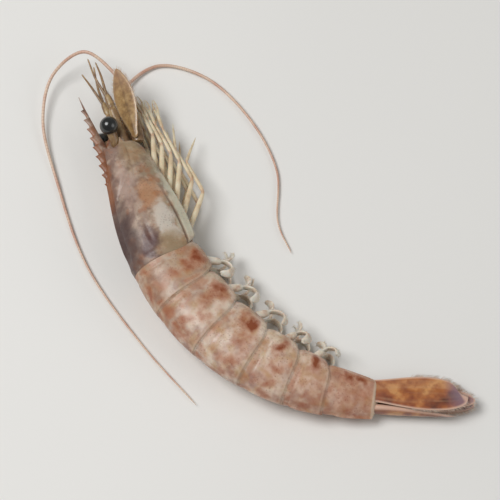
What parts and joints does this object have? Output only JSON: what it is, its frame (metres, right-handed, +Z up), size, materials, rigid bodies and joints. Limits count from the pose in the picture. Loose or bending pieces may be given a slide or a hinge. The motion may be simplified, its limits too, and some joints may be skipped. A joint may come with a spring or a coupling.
{
  "type": "raw caramote prawn",
  "caption": "Raw caramote prawn lying on its side, with overlapping banded shell plates, toothed rostrum, long feelers, folded legs and a half-closed tail fan.",
  "frame": {"origin": "middle of the bounding box at its bottom, on the surface that the prawn lies on", "axes": "+X from head to tail along the chord of the curled body, +Y towards the belly and legs, +Z up, towards the right flank"},
  "size_m": [0.15, 0.0752, 0.0163],
  "materials": {
    "head_shell": "wet translucent shell, grey-pink with mauve and olive patches",
    "banded_shell": "wet translucent shell, pinkish cream with broken red-brown bars",
    "tail_blade": "wet thin shell, orange with pale edges and violet tips",
    "leg": "satin, cream",
    "swimmeret": "satin, pinkish cream",
    "feeler": "satin, olive brown to pink",
    "eye": "wet, glossy black"
  },
  "bodies": {
    "root": {"carapace": "head_shell", "abdomen_1": "banded_shell", "abdomen_2": "banded_shell", "abdomen_3": "banded_shell", "abdomen_4": "banded_shell", "abdomen_5": "banded_shell", "abdomen_6": "banded_shell", "telson": "tail_blade", "uropod_inner_right": "tail_blade", "uropod_outer_right": "tail_blade", "uropod_inner_left": "tail_blade", "uropod_outer_left": "tail_blade", "eye_right": "eye", "eye_left": "eye", "antennule_right": "feeler", "antennule_left": "feeler", "antennal_scale_right": "feeler", "antennal_scale_left": "feeler", "antenna_right": "feeler", "antenna_left": "feeler", "maxilliped_right": "leg", "maxilliped_left": "leg", "leg_1_right": "leg", "leg_2_right": "leg", "leg_3_right": "leg", "leg_4_right": "leg", "leg_5_right": "leg", "leg_1_left": "leg", "leg_2_left": "leg", "leg_3_left": "leg", "leg_4_left": "leg", "leg_5_left": "leg", "pleopod_1_right": "swimmeret", "pleopod_2_right": "swimmeret", "pleopod_3_right": "swimmeret", "pleopod_4_right": "swimmeret", "pleopod_5_right": "swimmeret", "pleopod_1_left": "swimmeret", "pleopod_2_left": "swimmeret", "pleopod_3_left": "swimmeret", "pleopod_4_left": "swimmeret", "pleopod_5_left": "swimmeret"}
  },
  "joints": []
}
